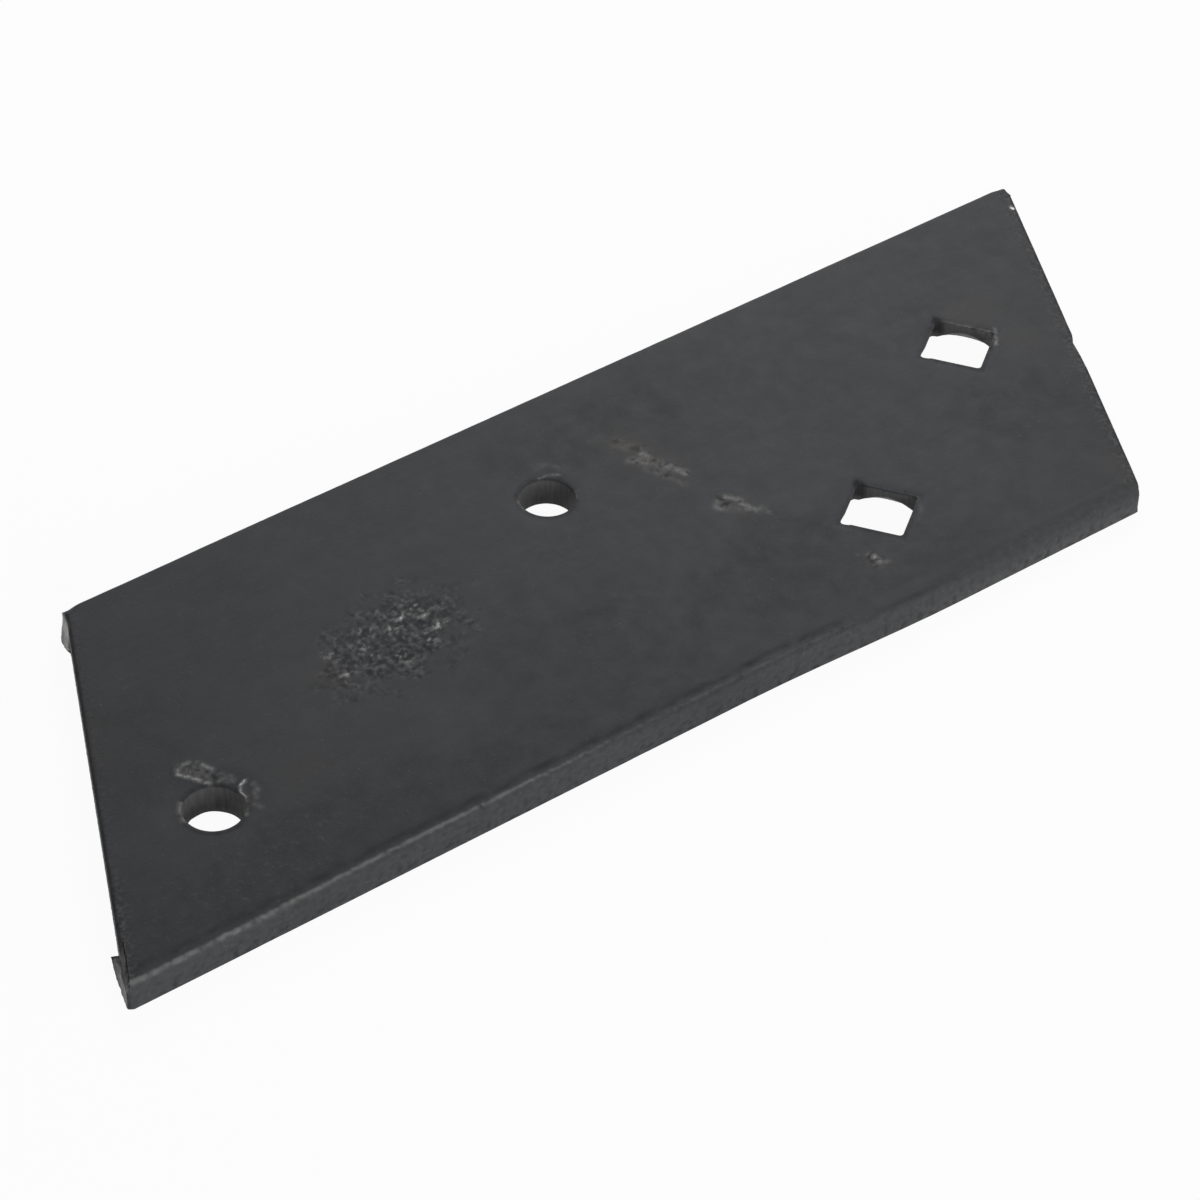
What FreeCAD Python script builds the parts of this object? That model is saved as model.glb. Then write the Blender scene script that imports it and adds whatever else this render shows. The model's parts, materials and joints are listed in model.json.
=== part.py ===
import FreeCAD, Part
import math
import os

# Plough landside: one piece of flat steel bar, sheared to a parallelogram and punched for its bolts.
# It lies on its outer face, the one that slides along the furrow wall. Its inner face looks up.
# Millimetres. +X runs towards the plough's share, +Y across the plate and +Z through its thickness.
# The outline is drawn from the rear corner of the near long edge, and the finished plate is then
# moved so that its frame's origin is in the middle of the face that it lies on.

os.makedirs("parts", exist_ok=True)
V = FreeCAD.Vector
UP = V(0, 0, 1)

# The bar and its two sheared ends
plate_length = 285.0            # along either long edge
plate_width = 110.0             # the bar's stock width
plate_thickness = 8.0
end_angle = 25.0                # how far both ends are off square, in degrees
inner_arris_radius = 2.0        # the long edges, where they meet the inner face
outer_arris_radius = 1.0        # the long edges, where they meet the outer face
end_arris = 0.5                 # the edge that the shear rolls over, at both ends
share_corner_radius = 2.5       # the sharp corner at the share end, worn round
plain_corner_radius = 1.0       # the other three corners

# The near long edge bulges out where the share end was pressed hot
swell_height = 1.9
swell_run = 65.0                # length of the double bend from the straight edge to the full swell
swell_setback = 55.0            # from the near corner at the share end back to the full swell

# Square holes for plough bolts, with round countersinks for their heads in the outer face
square_side = 15.0              # M14 bolt neck of 14 with clearance
square_turn = 36.0              # sides turned against the long edges, in degrees
square_corner_radius = 1.0
countersink_diameter = 26.0
countersink_half_angle = 45.0
bolt_pitch = 67.0               # from one square hole to the other
bolt_line_angle = 34.0          # line through both against the long edges, in degrees
near_bolt_setback = 57.5        # near square hole, back from the near corner at the share end
near_bolt_inset = 28.0          # near square hole, in from the near long edge

# Round bolt holes
middle_hole_diameter = 13.5     # M12 with clearance
middle_hole_back = 62.5         # behind the near square hole
middle_hole_across = 49.0       # across from the near square hole
rear_hole_diameter = 14.5       # the same hole, worn larger
rear_hole_forward = 44.0        # forward of the near rear corner
rear_hole_inset = 34.5
punch_rollover = 0.5            # rim that the punch drew down, on the inner face

# A nick in the share end, left where one stroke of the shear met the next
nick_place = 54.0               # along the end from the near corner
nick_depth = 1.0
nick_rise = 4.0                 # steep side, towards the far edge
nick_fall = 10.0                # gentle side, towards the near edge

# Torn lips at the two rear corners, where the shear dragged the last of the metal
far_lip_length = 7.0
far_lip_reach = 1.4
far_lip_top = 7.0               # height at which it has run out
near_lip_length = 16.0
near_lip_reach = 1.7
near_lip_top = 6.0
lip_root = 1.0                  # how deep both lips stand in the plate
groove_width = 0.9              # tear that parts the near lip from the inner face
groove_depth = 1.3
groove_inset = 1.1

overshoot = 20.0                # how far blanks and cutters run past what they cut


# Directions and corners that everything else is placed by
end_slope = math.radians(end_angle)
end_run = plate_width * math.tan(end_slope)
end_length = plate_width / math.cos(end_slope)
along_end = V(math.sin(end_slope), math.cos(end_slope), 0)
rear_outward = V(-math.cos(end_slope), math.sin(end_slope), 0)
share_outward = rear_outward * -1
rear_near = V(0, 0, 0)
rear_far = V(end_run, plate_width, 0)
share_near = V(plate_length, 0, 0)
share_far = V(plate_length + end_run, plate_width, 0)
share_swollen = share_near - along_end * (swell_height / math.cos(end_slope))
square_near = share_near + V(-near_bolt_setback, near_bolt_inset, 0)
bolt_line = math.radians(bolt_line_angle)
square_far = square_near + V(math.cos(bolt_line), math.sin(bolt_line), 0) * bolt_pitch
middle_hole = square_near + V(-middle_hole_back, middle_hole_across, 0)
rear_hole = rear_near + V(rear_hole_forward, rear_hole_inset, 0)


def prism(points, height, base=0.0):
    corners = [V(p.x, p.y, base) for p in points]
    face = Part.Face(Part.makePolygon(corners + corners[:1]))
    return face.extrude(UP * height)


def tapered(lower, upper, height):
    rings = []
    for points, level in ((lower, 0.0), (upper, height)):
        corners = [V(p.x, p.y, level) for p in points]
        rings.append(Part.makePolygon(corners + corners[:1]))
    return Part.makeLoft(rings, True, True)


def bend(centre, radius, first, last):
    # arc about a centre, between two directions given in degrees
    def at(angle):
        return centre + V(math.cos(math.radians(angle)), math.sin(math.radians(angle)), 0) * radius
    return Part.Arc(at(first), at((first + last) / 2), at(last)).toShape()


def line(start, finish):
    return Part.LineSegment(start, finish).toShape()


def rolled_bar():
    # flat bar, longer than the plate, whose near edge steps out to the swell in two equal arcs
    full = plate_length - swell_setback
    start = full - swell_run
    radius = (swell_run ** 2 + swell_height ** 2) / (4 * swell_height)
    turn = math.degrees(math.asin(swell_run / 2 / radius))
    tail = -overshoot
    nose = plate_length + end_run + overshoot
    near_edge = [
        line(V(tail, 0, 0), V(start, 0, 0)),
        bend(V(start, -radius, 0), radius, 90, 90 - turn),
        bend(V(full, radius - swell_height, 0), radius, 270 - turn, 270),
        line(V(full, -swell_height, 0), V(nose, -swell_height, 0)),
    ]
    rest = [
        line(V(nose, -swell_height, 0), V(nose, plate_width, 0)),
        line(V(nose, plate_width, 0), V(tail, plate_width, 0)),
        line(V(tail, plate_width, 0), V(tail, 0, 0)),
    ]
    bar = Part.Face(Part.Wire(near_edge + rest)).extrude(UP * plate_thickness)
    for level, radius in ((plate_thickness, inner_arris_radius), (0.0, outer_arris_radius)):
        arrises = [edge for edge in bar.Edges if is_long_arris(edge, level)]
        bar = bar.makeFillet(radius, arrises)
    return bar


def is_long_arris(edge, level):
    box = edge.BoundBox
    flat = abs(box.ZMin - level) < 1e-6 and abs(box.ZMax - level) < 1e-6
    return flat and box.XLength > box.YLength


def end_cutter(corner, outward):
    # block that takes off all of the bar beyond one sheared end
    low = corner - along_end * overshoot
    high = corner + along_end * (end_length + overshoot)
    far = outward * (end_run + 2 * overshoot)
    return prism([low, high, high + far, low + far], plate_thickness)


def roll_cutter(corner, outward):
    # sliver along the inner edge of one end, which leaves it broken at 45 degrees
    low = corner - along_end * overshoot
    inset = outward * -end_arris
    top = UP * plate_thickness
    section = [low + inset + top, low + outward * end_arris + top,
               low + outward * end_arris + top - UP * 2 * end_arris]
    face = Part.Face(Part.makePolygon(section + section[:1]))
    return face.extrude(along_end * (end_length + 2 * overshoot))


def corner_cutter(corner, one_way, other_way, radius):
    # what a round corner leaves off, between two edges that leave the corner in the given directions
    half = one_way.getAngle(other_way) / 2
    reach = radius / math.tan(half)
    middle = (one_way + other_way).normalize()
    centre = corner + middle * (radius / math.sin(half))
    nearest = centre - middle * radius
    first = corner + one_way * reach
    last = corner + other_way * reach
    past = corner - middle * radius
    edges = [
        Part.Arc(first, nearest, last).toShape(),
        line(last, past),
        line(past, first),
    ]
    return Part.Face(Part.Wire(edges)).extrude(UP * plate_thickness)


def nick_cutter():
    centre = share_near + along_end * nick_place
    return prism([
        centre - along_end * nick_fall + share_outward * nick_depth,
        centre - along_end * nick_fall,
        centre - share_outward * nick_depth,
        centre + along_end * nick_rise,
        centre + along_end * nick_rise + share_outward * nick_depth,
    ], plate_thickness)


def far_lip():
    # wedge of torn metal, widest at the outer face and blunt at its near end
    start = rear_far - along_end * plain_corner_radius
    stop = start - along_end * far_lip_length
    root = rear_outward * -lip_root
    reach = rear_outward * far_lip_reach
    lower = [start + root, start + reach * 0.7, stop + along_end + reach, stop, stop + root]
    upper = [start + root, start, stop + along_end, stop, stop + root]
    return tapered(lower, upper, far_lip_top)


def near_lip():
    # flap that leaves the corner gently and ends blunt, a little below the inner face
    start = rear_near + along_end * plain_corner_radius
    stop = start + along_end * near_lip_length
    root = rear_outward * -lip_root
    reach = rear_outward * near_lip_reach
    lower = [start + root, start, stop + reach, stop, stop + root]
    upper = [start + root, start, stop - along_end + reach * 0.7, stop - along_end, stop - along_end + root]
    return tapered(lower, upper, near_lip_top)


def groove_cutter():
    start = rear_near + rear_outward * -groove_inset + UP * plate_thickness
    half = rear_outward * (groove_width / 2)
    section = [start - half, start + half, start - UP * groove_depth]
    face = Part.Face(Part.makePolygon(section + section[:1]))
    return face.extrude(along_end * (near_lip_length + plain_corner_radius))


def square_hole_cutter(centre):
    half = square_side / 2
    block = Part.makeBox(square_side, square_side, plate_thickness + 2 * overshoot,
                         V(-half, -half, -overshoot))
    uprights = [edge for edge in block.Edges if edge.BoundBox.ZLength > plate_thickness]
    block = block.makeFillet(square_corner_radius, uprights)
    block.rotate(V(0, 0, 0), UP, square_turn)
    depth = (countersink_diameter / 2 - half) / math.tan(math.radians(countersink_half_angle))
    sink = Part.makeCone(countersink_diameter / 2, half, depth)
    cutter = block.fuse(sink)
    cutter.translate(centre)
    return cutter


def round_hole_cutter(centre, diameter):
    # straight bore, with the rim that the punch drew down as a quarter round on the inner face
    radius = diameter / 2
    wide = radius + punch_rollover
    top = plate_thickness
    turned = V(radius, 0, top - punch_rollover)
    side = punch_rollover * (1 - math.cos(math.radians(45)))
    edges = [
        line(V(0, 0, -overshoot), V(radius, 0, -overshoot)),
        line(V(radius, 0, -overshoot), turned),
        Part.Arc(turned, V(radius + side, 0, top - side), V(wide, 0, top)).toShape(),
        line(V(wide, 0, top), V(0, 0, top)),
        line(V(0, 0, top), V(0, 0, -overshoot)),
    ]
    cutter = Part.Face(Part.Wire(edges)).revolve(V(0, 0, 0), UP, 360)
    cutter.translate(centre)
    return cutter


def sheared_plate():
    along = V(1, 0, 0)
    plate = rolled_bar()
    cutters = [
        end_cutter(rear_near, rear_outward),
        end_cutter(share_near, share_outward),
        nick_cutter(),
        roll_cutter(rear_near, rear_outward),
        roll_cutter(share_near, share_outward),
        corner_cutter(share_far, along * -1, along_end * -1, share_corner_radius),
        corner_cutter(rear_far, along, along_end * -1, plain_corner_radius),
        corner_cutter(rear_near, along, along_end, plain_corner_radius),
        corner_cutter(share_swollen, along * -1, along_end, plain_corner_radius),
    ]
    for cutter in cutters:
        plate = plate.cut(cutter)
    return plate


def landside():
    plate = sheared_plate()
    plate = plate.fuse([far_lip(), near_lip()])
    cutters = [
        groove_cutter(),
        square_hole_cutter(square_near),
        square_hole_cutter(square_far),
        round_hole_cutter(middle_hole, middle_hole_diameter),
        round_hole_cutter(rear_hole, rear_hole_diameter),
    ]
    for cutter in cutters:
        plate = plate.cut(cutter)
    return plate.removeSplitter()


plate = landside()
middle = plate.optimalBoundingBox(False, False).Center
shift = V(-middle.x, -middle.y, 0)
plate.translate(shift)
solid = plate.Solids[0]
solid.exportStep("parts/landside_plate.step")

print("solids", len(plate.Solids), "valid", solid.isValid(), "volume mm3", round(solid.Volume, 1))
print("box", [round(size, 3) for size in (solid.BoundBox.XLength, solid.BoundBox.YLength, solid.BoundBox.ZLength)])
print("lowest", round(solid.BoundBox.ZMin, 4))
for name, place in (("square_near", square_near), ("square_far", square_far),
                    ("middle_hole", middle_hole), ("rear_hole", rear_hole), ("rear_near", rear_near)):
    moved = place + shift
    print(name, round(moved.x, 3), round(moved.y, 3))
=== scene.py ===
# %% [markdown]
# This lesson dresses a plough landside: the flat steel plate that rubs along the furrow wall behind
# a plough share. The real one is a single piece of hot-rolled bar, sheared at both ends, punched for
# its bolts and left with the dark skin that the rolling mill gave it. Its exact shape is already
# here as a CAD frame. What Blender adds is everything that a drawing leaves out: torn edges, burrs,
# pits, scuffs, the dull dark coat and the light of a studio.

# %% Load the frame
import json
import math

import bmesh
import bpy
from mathutils import Matrix, Vector, noise


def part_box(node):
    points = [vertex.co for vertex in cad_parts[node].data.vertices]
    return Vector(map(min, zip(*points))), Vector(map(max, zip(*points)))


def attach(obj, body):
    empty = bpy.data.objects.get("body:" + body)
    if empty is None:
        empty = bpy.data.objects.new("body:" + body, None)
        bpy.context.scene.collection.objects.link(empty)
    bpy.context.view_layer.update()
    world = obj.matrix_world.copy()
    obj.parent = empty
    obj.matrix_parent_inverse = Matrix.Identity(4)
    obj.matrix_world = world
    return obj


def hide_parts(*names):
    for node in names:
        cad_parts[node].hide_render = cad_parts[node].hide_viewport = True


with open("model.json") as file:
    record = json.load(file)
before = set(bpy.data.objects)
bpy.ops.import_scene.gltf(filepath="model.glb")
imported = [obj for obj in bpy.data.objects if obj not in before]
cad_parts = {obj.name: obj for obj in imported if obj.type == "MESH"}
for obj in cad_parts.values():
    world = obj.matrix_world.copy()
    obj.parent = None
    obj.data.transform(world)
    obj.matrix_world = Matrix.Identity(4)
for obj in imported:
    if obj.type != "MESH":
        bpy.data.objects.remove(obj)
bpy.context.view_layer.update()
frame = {"nodes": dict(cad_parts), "record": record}
MM = 0.001  # Blender works in metres, and the plate is thought of in millimetres
lowest, highest = (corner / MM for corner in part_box("landside_plate"))
print("plate in mm, lowest and highest corner:", lowest, highest)

# %% [markdown]
# The camera comes first, because it decides which details are worth making. The photograph was taken
# from above the rear end of the plate with a long lens, so the plate hardly narrows with distance.
# A camera can be aimed with a constraint, but its place and its three directions are known here from
# fitting a pinhole camera to the plate's edges and holes, so they are written straight into its
# matrix. The columns of that matrix are the camera's right, its up, its back and its place.

# %% Place the camera
VIEW_ANGLE = math.radians(15.9766)
right = Vector((0.805708, -0.591936, 0.021123))
up = Vector((0.386607, 0.552575, 0.738374))
back = right.cross(up)
eye = Vector((-459.464, -596.275, 677.330)) * MM


def add_object(name, data):
    made = bpy.data.objects.new(name, data)
    bpy.context.scene.collection.objects.link(made)
    return made


camera_data = bpy.data.cameras.new("camera")
camera_data.lens = camera_data.sensor_width / 2 / math.tan(VIEW_ANGLE / 2)
camera_data.clip_start = 0.05
camera = add_object("camera", camera_data)
camera.matrix_world = Matrix((right, up, back)).transposed().to_4x4()
camera.location = eye
bpy.context.scene.camera = camera
print("lens in mm:", round(camera_data.lens, 1), "distance in mm:", round(eye.length / MM))

# %% [markdown]
# A shader tree can be wired by hand, node by node, but the sums in it are then hard to read. This
# small class wraps one socket. Plus, minus and times on it add the Math nodes that do the same, and
# its method for every other kind of node takes the node's type, its settings and what goes into its
# sockets.

# %% A socket that understands arithmetic
class Wire:
    def __init__(self, tree, socket=None):
        self.tree = tree
        self.socket = socket

    def node(self, kind, settings, inputs, output=0):
        made = self.tree.nodes.new(kind)
        for name, value in settings.items():
            setattr(made, name, value)
        for name, value in inputs.items():
            if isinstance(value, Wire):
                self.tree.links.new(value.socket, made.inputs[name])
            else:
                made.inputs[name].default_value = value
        return Wire(self.tree, made.outputs[output] if made.outputs else None)

    def math(self, operation, first, second=0.0):
        return self.node("ShaderNodeMath", {"operation": operation}, {0: first, 1: second})

    def __add__(self, other):
        return self.math("ADD", self, other)

    def __sub__(self, other):
        return self.math("SUBTRACT", self, other)

    def __rsub__(self, other):
        return self.math("SUBTRACT", other, self)

    def __mul__(self, other):
        return self.math("MULTIPLY", self, other)

    __radd__ = __add__
    __rmul__ = __mul__

    def at_least(self, other):
        return self.math("MAXIMUM", self, other)

    def step(self, low, high):
        """0 below low, 1 above high and a smooth rise between them."""
        return self.node("ShaderNodeMapRange", {"interpolation_type": "SMOOTHSTEP"},
                         {"Value": self, "From Min": low, "From Max": high})

    def tint(self, low_colour, high_colour):
        """One colour where this socket is 0, and the other where it is 1."""
        return self.node("ShaderNodeMix", {"data_type": "RGBA"},
                         {0: self, 6: low_colour, 7: high_colour}, 2)


def empty_tree(owner):
    """Clears the shader tree of a material or a world, to start on it."""
    owner.use_nodes = True
    owner.node_tree.nodes.clear()
    return Wire(owner.node_tree)


def seen_directly(start):
    """1 for rays that look at the backdrop straight, in a reflection or through glass."""
    rays = start.tree.nodes.new("ShaderNodeLightPath")
    camera_ray, glossy_ray, glass_ray = (
        Wire(start.tree, rays.outputs[name])
        for name in ("Is Camera Ray", "Is Glossy Ray", "Is Transmission Ray"))
    return camera_ray.at_least(glossy_ray).at_least(glass_ray)


print("wire class ready")

# %% [markdown]
# The plate was photographed on pure white. A floor lit until it burns out would also burn light onto
# the plate from below, so the floor is a plain pale one for the light that falls on it, and mostly
# a white glow for the rays that look at it. The share that stays real keeps a faint shadow. Seen
# from below the floor is clear, so that the underside of the plate can be looked at.

# %% Lay the floor
FLOOR_REACH = 3.0  # metres, either way from the middle
FLOOR_GLOW = 0.95  # share of the floor's look that is plain white
FLOOR_DROP = 0.02 * MM  # the plate's own underside stays the upper of the two

floor_mesh = bpy.data.meshes.new("floor")
sketch = bmesh.new()
bmesh.ops.create_grid(sketch, x_segments=1, y_segments=1, size=FLOOR_REACH)
bmesh.ops.translate(sketch, vec=(0, 0, -FLOOR_DROP), verts=sketch.verts)
sketch.to_mesh(floor_mesh)
sketch.free()
floor = add_object("floor", floor_mesh)

pale = bpy.data.materials.new("pale_floor")
start = empty_tree(pale)
glow = start.node("ShaderNodeEmission", {}, {"Color": (1, 1, 1, 1), "Strength": 1.0})
board = start.node("ShaderNodeBsdfDiffuse", {}, {"Color": (0.8, 0.8, 0.8, 1)})
clear = start.node("ShaderNodeBsdfTransparent", {}, {})
white = start.node("ShaderNodeMixShader", {},
                   {0: seen_directly(start) * FLOOR_GLOW, 1: board, 2: glow})
below = start.node("ShaderNodeNewGeometry", {}, {}, "Backfacing")
sided = start.node("ShaderNodeMixShader", {}, {0: below, 1: white, 2: clear})
start.node("ShaderNodeOutputMaterial", {}, {"Surface": sided})
floor_mesh.materials.append(pale)
print("floor reaches", FLOOR_REACH, "m")

# %% [markdown]
# The photograph's light is a soft studio light from behind and to the right, with two low fills from
# the front that catch the near edge. Dark steel shows mostly what it reflects, so where the lamps
# stand matters more than how strong they are. The world adds an even grey light.

# %% Set the lights
world = bpy.data.worlds.new("studio")
start = empty_tree(world)
WORLD_LIGHT = 0.15  # grey level of the room, as the plate sees it
room = seen_directly(start).tint((WORLD_LIGHT,) * 3 + (1,), (1, 1, 1, 1))
surround = start.node("ShaderNodeBackground", {}, {"Color": room, "Strength": 1.0})
start.node("ShaderNodeOutputWorld", {}, {"Surface": surround})
bpy.context.scene.world = world


def soft_lamp(name, place, target, size, power):
    """A square area lamp in metres and watts, turned towards its target."""
    data = bpy.data.lights.new(name, "AREA")
    data.size = size
    data.energy = power
    lamp = add_object(name, data)
    lamp.location = place
    aim = Vector(target) - Vector(place)
    lamp.rotation_euler = aim.to_track_quat("-Z", "Y").to_euler()
    print(name, "is", round(aim.length, 2), "m away")


soft_lamp("back_lamp", (0.5, 0.55, 0.6), (0.05, 0, 0), 0.5, 5)
soft_lamp("front_lamp", (-0.25, -1.1, 0.18), (0, 0, 0), 0.7, 12)
soft_lamp("side_lamp", (0.65, -0.9, 0.18), (0.1, 0, 0), 0.6, 4.5)
bpy.context.scene.view_settings.view_transform = "Standard"

# %% [markdown]
# The plate's new surface starts as a copy of the CAD solid, so every hole and edge is already where
# it belongs. A CAD mesh is made of long thin triangles, though, and there is nothing in the middle of
# them to push in or pull out. A voxel remesh would give even cells but would round off the crisp
# edges. Slicing the copy with planes keeps the edges exact, so that is done. First the doubled
# points are merged and the flat triangles joined.

# %% Copy the solid
TINY = 0.001  # points nearer than this are one point

plate = bmesh.new()
plate.from_mesh(frame["nodes"]["landside_plate"].data)
bmesh.ops.scale(plate, vec=(1 / MM,) * 3, verts=plate.verts)
bmesh.ops.remove_doubles(plate, verts=plate.verts, dist=TINY)
bmesh.ops.dissolve_limit(plate, angle_limit=math.radians(0.05), use_dissolve_boundaries=False,
                         verts=plate.verts, edges=plate.edges, delimit=set())
print("joined up:", len(plate.verts), "points,", len(plate.faces), "faces")

# %% [markdown]
# The operator that slices, bisect_plane, looks at every face that it is given, and a few hundred
# planes over a whole mesh would take minutes. So the middle plane comes first, and each half of the
# faces then meets only its own half of the planes.

# %% Slice faces by many planes
def slices(low, high, spacing):
    """Evenly spaced places strictly between two ends."""
    count = max(1, round((high - low) / spacing))
    return [low + (high - low) * i / count for i in range(1, count)]


def with_sides(faces):
    """Faces with their sides and corners, each once, as bisect_plane wants them."""
    return list(dict.fromkeys(part for face in faces for part in (face, *face.edges, *face.verts)))


def slice_faces(faces, axis, places):
    """Cuts faces by planes across one axis, the middle plane first."""
    if not places or not faces:
        return
    middle = len(places) // 2
    normal = Vector((axis == 0, axis == 1, axis == 2))
    cut = bmesh.ops.bisect_plane(plate, geom=with_sides(faces), dist=TINY, plane_no=normal,
                                 plane_co=normal * places[middle])["geom"]
    below, above = [], []
    for part in cut:
        if isinstance(part, bmesh.types.BMFace):
            side = above if part.calc_center_median()[axis] > places[middle] else below
            side.append(part)
    slice_faces(below, axis, places[:middle])
    slice_faces(above, axis, places[middle + 1:])


print("10 mm in slices of 2.5 are cut at", slices(0, 10, 2.5))

# %% [markdown]
# A hole's rim is where the punch tore the steel, so the cells round it are far smaller than the rest.
# Cuts that run right across mark out a square round each hole, and the faces in it are sliced finely.
# The plain face between the squares then gets its wider grid.

# %% Slice round the holes, and then everywhere
GRID = 2.6  # spacing of the cuts over the whole plate
WALL_GRID = 0.9  # spacing of the level cuts, which only the walls notice
FINE_ABOVE = 5.0  # the fine cells round the holes reach down to here

listed = frame["record"]["mounts"]
mounts = {mount["name"]: Vector(mount["pos_m"]) / MM for mount in listed}
bores = {mount["name"]: mount["dims"]["r_mm"] for mount in listed if mount["kind"] == "bore"}
middle_hole = mounts["middle_bolt_hole"].xy
rear_hole = mounts["rear_bolt_hole"].xy
near_square = mounts["share_end_bolt_hole_near"].xy
far_square = mounts["share_end_bolt_hole_far"].xy

# middle, half width either way, spacing
rim_places = [
    (rear_hole + Vector((2.6, 3.9)), 13.0, 0.50),
    (middle_hole, 9.6, 0.60),
    (near_square, 12.6, 0.70),
    (far_square, 12.6, 0.60),
]


def faces_where(test):
    return [face for face in plate.faces if test(face.calc_center_median())]


def near_rim(centre):
    return any(abs(centre.x - middle.x) < half and abs(centre.y - middle.y) < half
               for middle, half, spacing in rim_places)


for axis in (0, 1):
    borders = sorted(middle[axis] + side * half
                     for middle, half, spacing in rim_places for side in (-1, 1))
    slice_faces(plate.faces[:], axis, borders)
for middle, half, spacing in rim_places:
    for axis in (0, 1):
        chosen = faces_where(lambda centre: centre.z > FINE_ABOVE
                             and abs(centre.x - middle.x) < half
                             and abs(centre.y - middle.y) < half)
        slice_faces(chosen, axis, slices(middle[axis] - half, middle[axis] + half, spacing))
print("round the holes:", len(plate.verts), "points,", len(plate.faces), "faces")

slice_faces(plate.faces[:], 2, slices(lowest.z, highest.z, WALL_GRID))
for axis in (1, 0):
    slice_faces(faces_where(lambda centre: centre.z < FINE_ABOVE or not near_rim(centre)), axis,
                slices(lowest[axis], highest[axis], GRID))
print("sliced:", len(plate.verts), "points,", len(plate.faces), "faces")

# %% [markdown]
# Away from the holes the cells are plain squares, and there a square can simply be divided again.
# That is done in the pitted patch, under the scuffs and where the share end lost a chip.

# %% Divide the busy cells again
UPPER_FACE = 7.9  # only the upper face has cells with their middle above this
PATCH = Vector((-60.5, 2.5))  # middle of the pitted patch
SCUFFS = (Vector((25.5, 17.5)), Vector((33.0, -5.0)), Vector((48.0, -38.6)))
CHIP = Vector((163.0, 46.9))  # broken out of the share end

# middle, half sizes and how many cuts a cell's side gets
busy_places = [
    (PATCH, (25.0, 18.0), 4),
    (SCUFFS[0], (8.0, 15.5), 4),
    (SCUFFS[1], (8.0, 7.0), 4),
    (SCUFFS[2], (4.0, 5.5), 4),
    (CHIP, (3.5, 3.5), 3),
]
for middle, half, cuts in busy_places:
    chosen = faces_where(lambda centre: centre.z > UPPER_FACE and not near_rim(centre)
                         and abs(centre.x - middle.x) < half[0]
                         and abs(centre.y - middle.y) < half[1])
    sides = dict.fromkeys(edge for face in chosen for edge in face.edges)
    bmesh.ops.subdivide_edges(plate, edges=list(sides), cuts=cuts, use_grid_fill=True)
print("busy places divided:", len(plate.verts), "points,", len(plate.faces), "faces")

# %% [markdown]
# Nicks and shear marks need slim cells along the edges. A few more planes are laid beside the ends
# and the near edge, and then only the sides that run lengthwise are divided.

# %% Divide the cells along the edges
BAR_WIDTH = 110.0
EDGE_LENGTH = 285.0
END_SLOPE = math.radians(25)
END_ROWS = (0.25, 0.6, 1.0, 1.5, 2.2, 3.0, 3.8)  # cuts that run beside each end, in from it
NEAR_ROWS = (2.4, 3.0, 4.1, 4.9)  # and beside the near long edge
CUT_REACH = 3.5  # how far in from such a cut the cells are offered to it
END_BAND = 4.2  # how far in from an end the cells are made slim
along_plate = Vector((1, 0, 0))
along_end = Vector((math.sin(END_SLOPE), math.cos(END_SLOPE), 0))
rear_outward = Vector((-math.cos(END_SLOPE), math.sin(END_SLOPE), 0))
share_outward = rear_outward * -1
rear_near = Vector((-167.646, -54.05, 0))
share_near = rear_near + along_plate * EDGE_LENGTH


def behind_rear(co):
    """How far a point lies outside the sheared face at the rear end."""
    return (co - rear_near).dot(rear_outward)


def beyond_share(co):
    """How far a point lies outside the sheared face at the share end."""
    return (share_near - co).dot(rear_outward)


def divide_lengthwise(test, direction, cuts):
    """Divides the sides of the chosen faces that run in one direction."""
    nearly_parallel, long_enough = 0.95, 0.4
    chosen = dict.fromkeys(
        edge for face in faces_where(test) for edge in face.edges
        if abs((edge.verts[1].co - edge.verts[0].co).normalized().dot(direction)) > nearly_parallel
        and edge.calc_length() > long_enough)
    bmesh.ops.subdivide_edges(plate, edges=list(chosen), cuts=cuts)


ends = ((behind_rear, rear_outward, rear_near), (beyond_share, share_outward, share_near))
for outside_of, outward, corner in ends:
    for inset in END_ROWS:
        strip = faces_where(lambda centre: centre.z > UPPER_FACE
                            and outside_of(centre) > -inset - CUT_REACH)
        bmesh.ops.bisect_plane(plate, geom=with_sides(strip), dist=TINY, plane_no=outward,
                               plane_co=corner - outward * inset)
slice_faces(faces_where(lambda centre: centre.z > UPPER_FACE and centre.y < -48.0), 1,
            [rear_near.y + inset for inset in NEAR_ROWS])
divide_lengthwise(lambda centre: centre.y < -51.0, along_plate, 3)
divide_lengthwise(lambda centre: centre.y > 54.5, along_plate, 1)
divide_lengthwise(lambda centre: beyond_share(centre) > -END_BAND, along_end, 3)
divide_lengthwise(lambda centre: behind_rear(centre) > -END_BAND, along_end, 3)
print("divided:", len(plate.verts), "points,", len(plate.faces), "faces")

# %% [markdown]
# The slicing left points almost on top of each other, so they are merged first, the cells become
# triangles, and slivers are dissolved, because the light shows one as a dark dot. The edges that must
# stay crisp are marked, and the bores are made truly round again: a CAD export gives a circle a few
# dozen flat sides, and the record says exactly how wide each bore is.

# %% Clean the cells and round the bores
CLOSE = 0.07  # points nearer than this are merged
SLIVER = 0.01  # triangles thinner than this are dissolved
CRISP = math.radians(32)  # edges that turn more than this stay sharp
ROLLOVER = 0.25  # how far the punch drew the upper rim of a round hole down
WALL_REACH = ROLLOVER + 0.06  # points this near to a bore belong to its wall

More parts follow.
